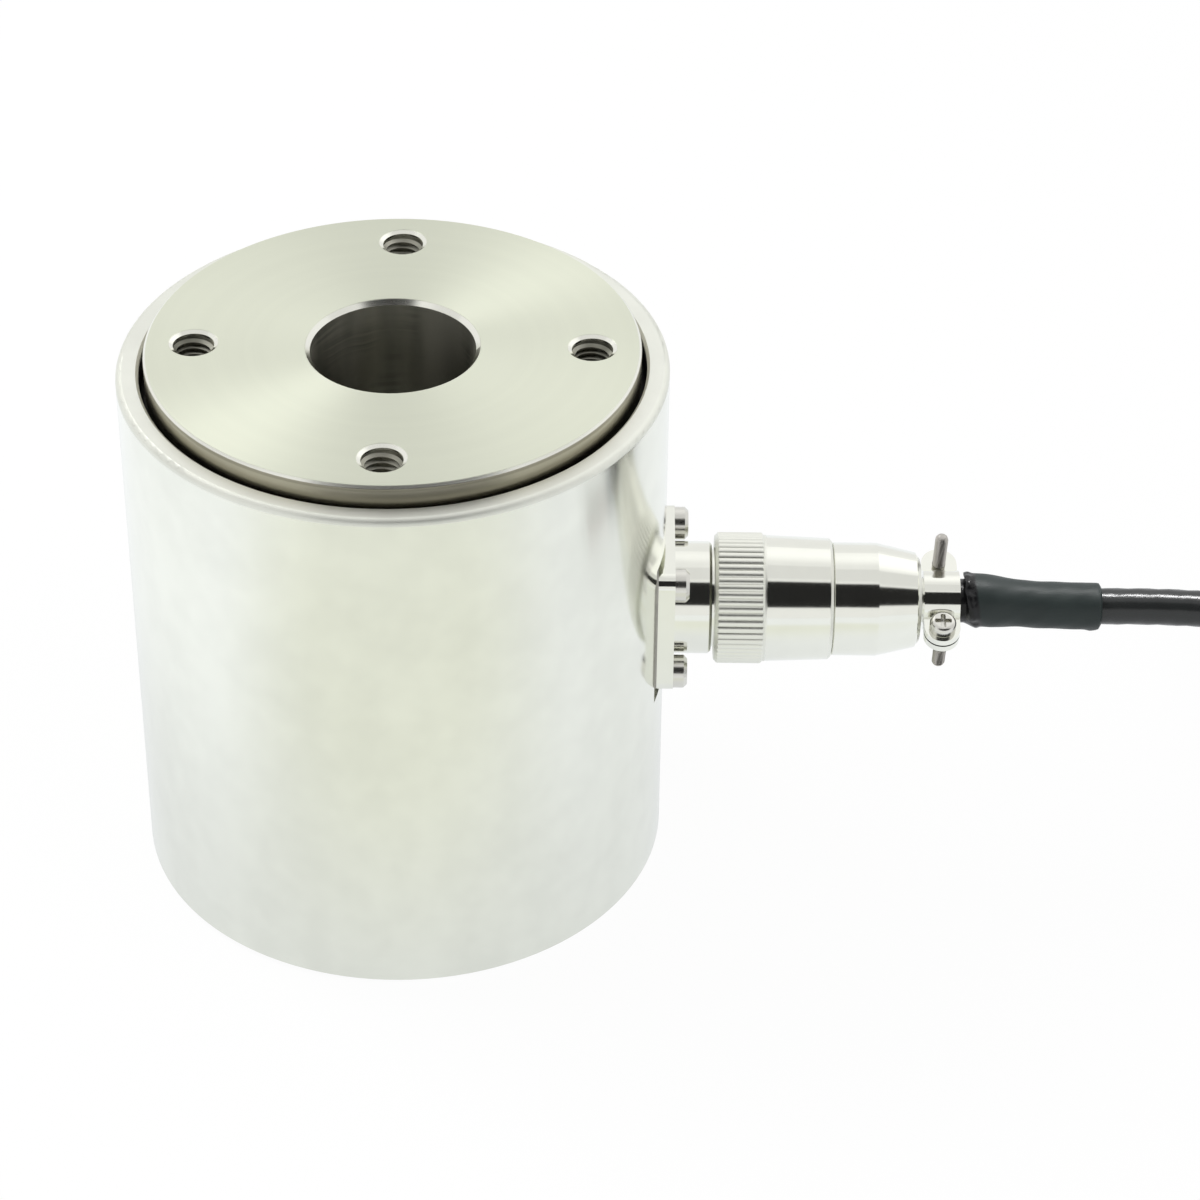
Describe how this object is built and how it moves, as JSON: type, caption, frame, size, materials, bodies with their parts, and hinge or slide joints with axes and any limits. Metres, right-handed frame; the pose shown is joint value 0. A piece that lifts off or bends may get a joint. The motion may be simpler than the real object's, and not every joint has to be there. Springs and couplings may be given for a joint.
{
  "type": "ring load cell",
  "caption": "Cylindrical through-hole compression load cell with tapped load faces, steel sleeve, knurled screw connector, strap cable clamp and coiled signal lead.",
  "frame": {"origin": "centre of the base face, on the bore's axis", "axes": "+Z along the bore from base face to load face, +X along the connector away from the body"},
  "size_m": [0.2652, 0.1092, 0.0875],
  "materials": {
    "sleeve_steel": "satin-polished stainless steel",
    "turned_steel": "fine-turned stainless steel",
    "nickel_plate": "bright nickel plate on brass",
    "screw_nickel": "nickel-plated steel",
    "seal_rubber": "black nitrile",
    "gasket_rubber": "pale silicone sheet",
    "gauge_foil": "amber film with foil grid",
    "lead_enamel": "enamelled copper",
    "board_laminate": "glass-fibre laminate",
    "resistor_body": "ceramic chip",
    "wire_sheath": "coloured wire insulation",
    "insert_moulding": "black moulding",
    "contact_gold": "gold-plated contact",
    "shrink_sleeve": "grey-black shrunk sleeve",
    "cable_jacket": "dark grey jacket",
    "tie_strap": "black woven strap"
  },
  "bodies": {
    "cell": {"elastic_element": "turned_steel", "outer_sleeve": "sleeve_steel", "rim_seal_ring": "seal_rubber", "axial_strain_gauges": "gauge_foil", "transverse_strain_gauges": "gauge_foil", "gauge_leads": "lead_enamel", "terminal_board": "board_laminate", "trim_resistors": "resistor_body", "signal_wires": "wire_sheath", "flange_gasket": "gasket_rubber", "receptacle_shell": "nickel_plate", "receptacle_insert": "insert_moulding", "receptacle_pins": "contact_gold", "insert_lock_ring": "nickel_plate", "flange_screws": "screw_nickel"},
    "plug": {"plug_body": "nickel_plate", "plug_insert": "insert_moulding", "plug_sockets": "contact_gold", "back_shell": "nickel_plate", "cable_cores": "wire_sheath", "clamp_half_upper": "nickel_plate", "clamp_half_lower": "nickel_plate", "clamp_screws": "screw_nickel", "heat_shrink_sleeve": "shrink_sleeve", "cable_run": "cable_jacket", "cable_coil": "cable_jacket", "cable_tail": "cable_jacket", "coil_tie": "tie_strap", "lead_ends": "wire_sheath"},
    "nut": {"coupling_nut": "nickel_plate"}
  },
  "joints": [
    {"name": "plug_slide", "type": "slide", "parent": "cell", "child": "plug", "axis": [1, 0, 0], "range_m": [0, 0.006]},
    {"name": "nut_turn", "type": "hinge", "parent": "plug", "child": "nut", "pos_m": [0.0565, 0, 0.043], "axis": [1, 0, 0], "range_deg": [0, 2160]}
  ],
  "couplings": [
    {"joint": "nut_turn", "follows": "plug_slide", "rad_per_m": 6283.2}
  ]
}
